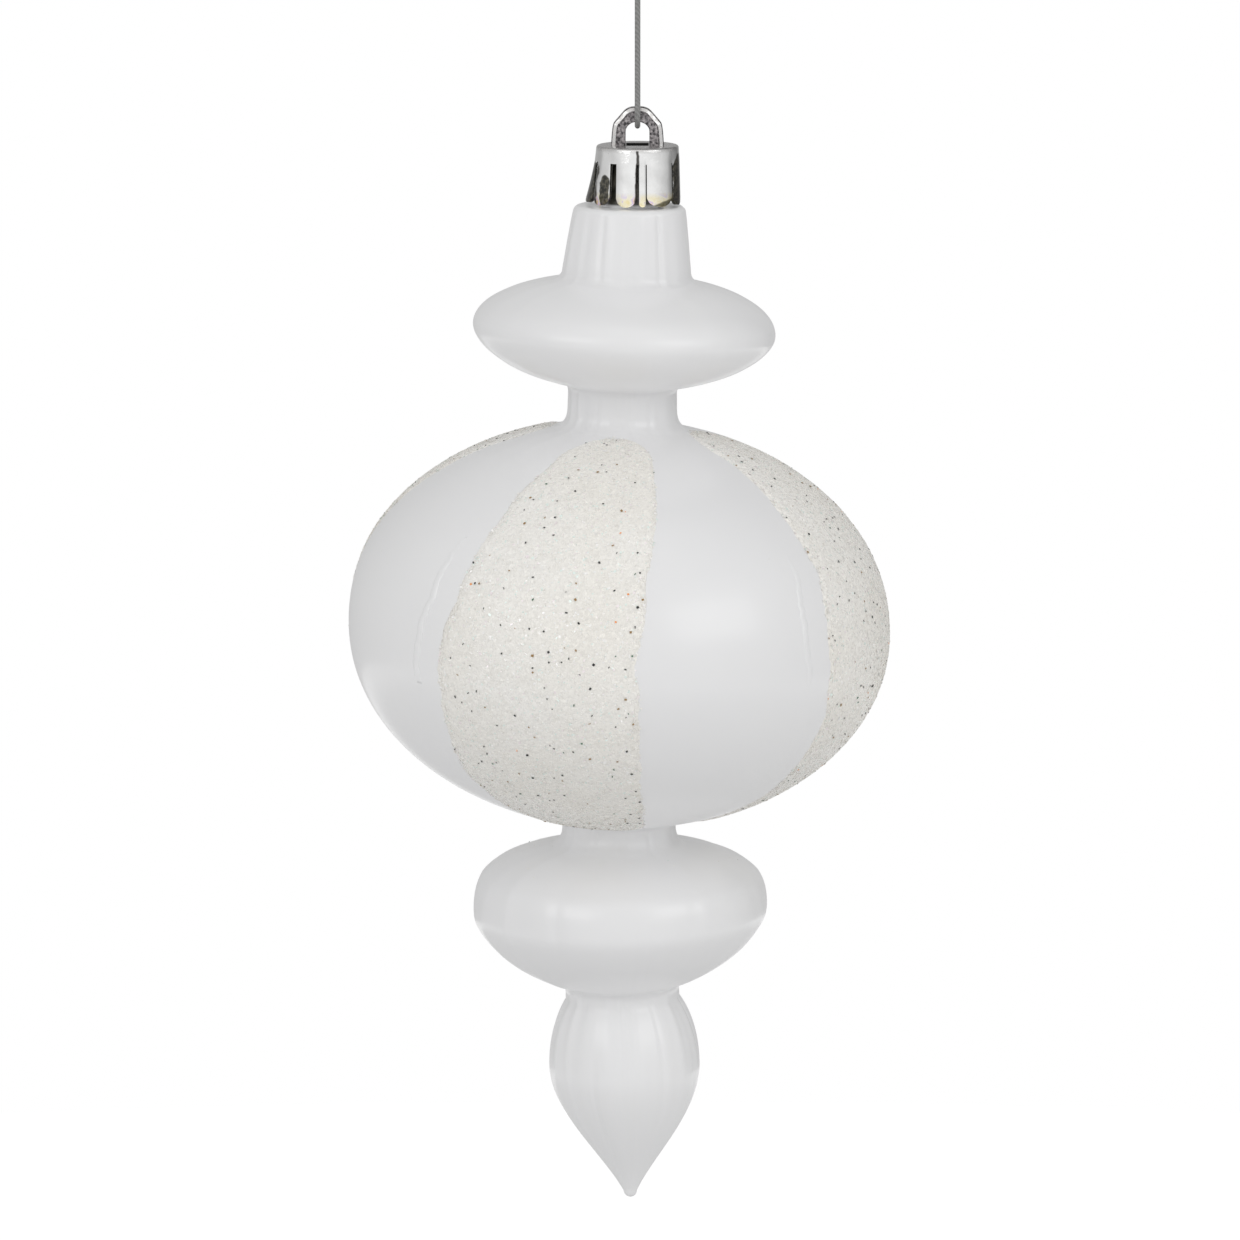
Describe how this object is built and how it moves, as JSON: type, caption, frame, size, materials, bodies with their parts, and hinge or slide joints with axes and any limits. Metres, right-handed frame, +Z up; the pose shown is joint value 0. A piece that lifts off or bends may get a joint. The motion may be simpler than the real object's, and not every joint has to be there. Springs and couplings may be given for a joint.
{
  "type": "hanging ornament",
  "caption": "Finial hanging ornament: a hollow blown shell of stacked lobes ending in a long drop, with glitter panels, a petalled cap with a moulded ring, and a cord.",
  "frame": {"origin": "where a hook bears on the inside of the hanging loop's top", "axes": "+Z up along the cord, -Y the front, +X the viewer's right"},
  "size_m": [0.0787, 0.0788, 0.2],
  "materials": {
    "pearl_plastic": "pearl with a satin gloss",
    "glitter": "glued glitter flakes",
    "chrome_cap": "vacuum metallised, worn on its edges",
    "grey_cord": "smooth thread"
  },
  "bodies": {
    "hanging_loop": {"hanging_loop": "grey_cord"},
    "knot": {"cord_knot": "grey_cord"},
    "strands": {"cord_strands": "grey_cord"},
    "cap": {"cap": "chrome_cap"},
    "shell": {"shell": "pearl_plastic", "glitter_panel_front": "glitter", "glitter_panel_right": "glitter", "glitter_panel_rear": "glitter", "glitter_panel_left": "glitter"}
  },
  "joints": [
    {"name": "cord_sway", "type": "hinge", "parent": "hanging_loop", "child": "knot", "pos_m": [0, 0, -0.019], "axis": [0, 1, 0], "range_deg": [-90, 90]},
    {"name": "cord_twist", "type": "hinge", "parent": "knot", "child": "strands", "pos_m": [0, 0, -0.019], "axis": [0, 0, 1], "range_deg": [-180, 180]},
    {"name": "ring_swing", "type": "hinge", "parent": "strands", "child": "cap", "pos_m": [0, 0, -0.04044], "axis": [1, 0, 0], "range_deg": [-90, 90]},
    {"name": "cap_pull_off", "type": "slide", "parent": "cap", "child": "shell", "axis": [0, 0, -1], "range_m": [0, 0.009]}
  ]
}
